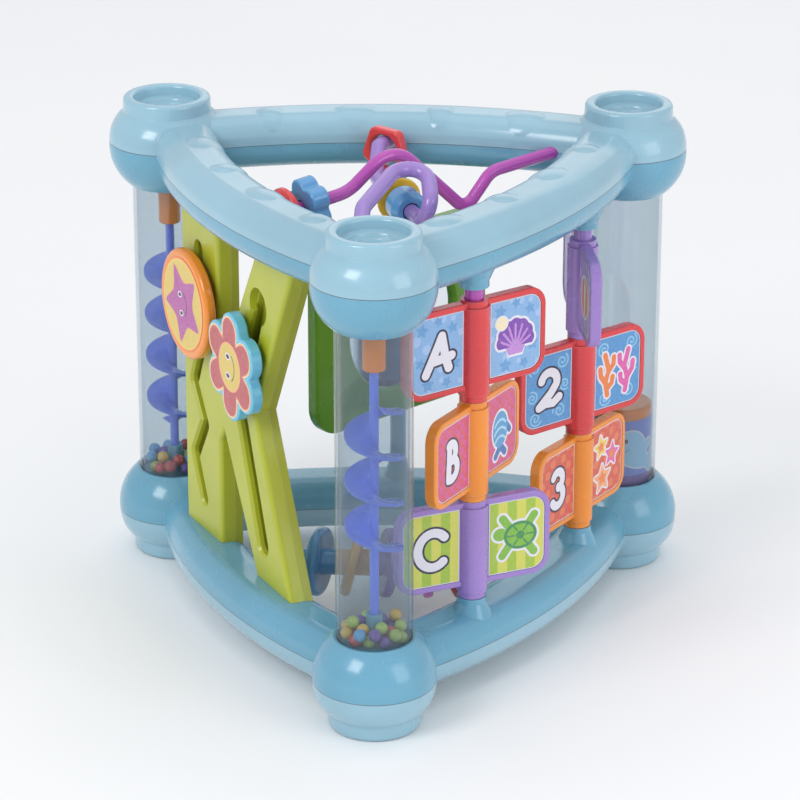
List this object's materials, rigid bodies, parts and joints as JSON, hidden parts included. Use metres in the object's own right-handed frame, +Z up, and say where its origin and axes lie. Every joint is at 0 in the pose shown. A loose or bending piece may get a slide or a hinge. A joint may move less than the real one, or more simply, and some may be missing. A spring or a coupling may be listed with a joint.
{
  "type": "triangular activity tower",
  "caption": "Triangular baby activity tower: three clear corner tubes with rainmaker screws and rattle, flip tiles, slider panel, swivel mirror, roller and bead maze.",
  "frame": {"origin": "middle of the footprint's bounding rectangle, on the floor", "axes": "+Z up; -Y towards the front corner tube; +X towards the flip-tile side"},
  "size_m": [0.3066, 0.3029, 0.26],
  "materials": {
    "pale_blue_plastic": "glossy moulded ABS",
    "teal_plastic": "glossy moulded ABS",
    "clear_tube": "clear moulded polystyrene",
    "lime_plastic": "satin moulded ABS",
    "green_plastic": "glossy moulded ABS",
    "orange_plastic": "glossy moulded ABS",
    "red_plastic": "glossy moulded ABS",
    "lavender_plastic": "glossy moulded ABS",
    "purple_plastic": "glossy moulded ABS",
    "magenta_plastic": "glossy moulded ABS",
    "auger_blue_plastic": "satin moulded polypropylene",
    "bead_blue_plastic": "glossy moulded ABS",
    "yellow_plastic": "glossy moulded ABS",
    "periwinkle_plastic": "glossy moulded ABS",
    "light_blue_plastic": "glossy moulded ABS",
    "mixed_bead_plastic": "glossy polystyrene balls in five colours",
    "mirror_film": "mirror-coated acrylic sheet",
    "screw_steel": "zinc-plated pan-head screws"
  },
  "bodies": {
    "tower": {"base_cover": "pale_blue_plastic", "base_screws": "screw_steel", "base_upper_shell": "teal_plastic", "front_auger_bush": "orange_plastic", "front_beads": "mixed_bead_plastic", "front_tube": "clear_tube", "front_tube_plug": "teal_plastic", "k_back_plate": "lime_plastic", "k_front_plate": "lime_plastic", "lavender_rod": "lavender_plastic", "lavender_spindle": "lavender_plastic", "left_auger_bush": "orange_plastic", "left_beads": "mixed_bead_plastic", "left_tube": "clear_tube", "left_tube_plug": "teal_plastic", "magenta_rod": "magenta_plastic", "magenta_spindle": "magenta_plastic", "right_tube": "clear_tube", "right_tube_plug": "teal_plastic", "roller_axle": "bead_blue_plastic", "top_cover": "pale_blue_plastic", "top_screws": "screw_steel", "top_under_shell": "teal_plastic"},
    "front_auger": {"front_auger": "auger_blue_plastic"},
    "left_auger": {"left_auger": "auger_blue_plastic"},
    "drum": {"drum_body": "periwinkle_plastic", "drum_rim": "purple_plastic", "drum_cap": "orange_plastic"},
    "tile_a": {"tile_a": "red_plastic"},
    "tile_b": {"tile_b": "orange_plastic"},
    "tile_c": {"tile_c": "lavender_plastic"},
    "tile_1": {"tile_1": "lavender_plastic"},
    "tile_2": {"tile_2": "red_plastic"},
    "tile_3": {"tile_3": "orange_plastic"},
    "star_slider": {"star_shoe": "lime_plastic"},
    "star_disc": {"star_disc": "orange_plastic"},
    "flower_slider": {"flower_shoe": "lime_plastic"},
    "flower_disc": {"flower_disc": "light_blue_plastic"},
    "mirror": {"mirror_front_frame": "green_plastic", "mirror_back_frame": "green_plastic", "mirror_plate": "mirror_film", "mirror_pins": "teal_plastic"},
    "roller": {"roller_disc_blue": "bead_blue_plastic", "roller_disc_orange": "orange_plastic", "roller_disc_purple": "purple_plastic", "roller_disc_magenta": "magenta_plastic", "roller_disc_red": "red_plastic"},
    "red_bead": {"red_bead": "red_plastic"},
    "blue_flower_bead": {"blue_flower_bead": "bead_blue_plastic"},
    "blue_barrel_bead": {"blue_barrel_bead": "bead_blue_plastic"},
    "yellow_bell_bead": {"yellow_bell_bead": "yellow_plastic"},
    "red_ring_bead": {"red_ring_bead": "red_plastic"}
  },
  "joints": [
    {"name": "front_auger_spin", "type": "hinge", "parent": "tower", "child": "front_auger", "pos_m": [0, -0.1204, 0.13], "axis": [0, 0, 1], "continuous": true},
    {"name": "left_auger_spin", "type": "hinge", "parent": "tower", "child": "left_auger", "pos_m": [-0.1222, 0.09125, 0.13], "axis": [0, 0, 1], "continuous": true},
    {"name": "drum_slide", "type": "slide", "parent": "tower", "child": "drum", "axis": [0, 0, 1], "range_m": [0, 0.135]},
    {"name": "tile_c_flip", "type": "hinge", "parent": "tower", "child": "tile_c", "pos_m": [0.04629, -0.06722, 0.07325], "axis": [0, 0, 1], "continuous": true},
    {"name": "tile_b_flip", "type": "hinge", "parent": "tower", "child": "tile_b", "pos_m": [0.04629, -0.06722, 0.12675], "axis": [0, 0, 1], "continuous": true},
    {"name": "tile_a_flip", "type": "hinge", "parent": "tower", "child": "tile_a", "pos_m": [0.04629, -0.06722, 0.18025], "axis": [0, 0, 1], "continuous": true},
    {"name": "tile_3_flip", "type": "hinge", "parent": "tower", "child": "tile_3", "pos_m": [0.09929, 0.02457, 0.07325], "axis": [0, 0, 1], "continuous": true},
    {"name": "tile_2_flip", "type": "hinge", "parent": "tower", "child": "tile_2", "pos_m": [0.09929, 0.02457, 0.12675], "axis": [0, 0, 1], "continuous": true},
    {"name": "tile_1_flip", "type": "hinge", "parent": "tower", "child": "tile_1", "pos_m": [0.09929, 0.02457, 0.18025], "axis": [0, 0, 1], "continuous": true},
    {"name": "star_slide", "type": "slide", "parent": "tower", "child": "star_slider", "axis": [0, 0, -1], "range_m": [-0.0225, 0.026]},
    {"name": "star_spin", "type": "hinge", "parent": "star_slider", "child": "star_disc", "pos_m": [-0.1023, 0.02399, 0.168], "axis": [-0.866, -0.5, 0], "continuous": true},
    {"name": "flower_slide", "type": "slide", "parent": "tower", "child": "flower_slider", "axis": [0.1923, -0.3331, 0.9231], "range_m": [-0.024, 0.036]},
    {"name": "flower_spin", "type": "hinge", "parent": "flower_slider", "child": "flower_disc", "pos_m": [-0.0733, -0.02624, 0.153], "axis": [-0.866, -0.5, 0], "continuous": true},
    {"name": "mirror_swivel", "type": "hinge", "parent": "tower", "child": "mirror", "pos_m": [0, 0.10525, 0.13], "axis": [0, 0, 1], "continuous": true},
    {"name": "roller_spin", "type": "hinge", "parent": "tower", "child": "roller", "pos_m": [0, -0.0013, 0.033], "axis": [1, 0, 0], "continuous": true},
    {"name": "red_bead_slide", "type": "slide", "parent": "tower", "child": "red_bead", "axis": [0.8008, 0.5878, 0.1146], "range_m": [-0.0015, 0.005]},
    {"name": "blue_flower_bead_slide", "type": "slide", "parent": "tower", "child": "blue_flower_bead", "axis": [0.8008, 0.5878, 0.1146], "range_m": [-0.005, 0.008]},
    {"name": "blue_barrel_bead_slide", "type": "slide", "parent": "tower", "child": "blue_barrel_bead", "axis": [-0.3702, 0.9289, 0.0135], "range_m": [-0.009, 0.001]},
    {"name": "yellow_bell_bead_slide", "type": "slide", "parent": "tower", "child": "yellow_bell_bead", "axis": [-0.3702, 0.9289, 0.0135], "range_m": [-0.001, 0.008]},
    {"name": "red_ring_bead_slide", "type": "slide", "parent": "tower", "child": "red_ring_bead", "axis": [0.5369, 0.8437, 0], "range_m": [-0.0015, 0.0015]}
  ]
}
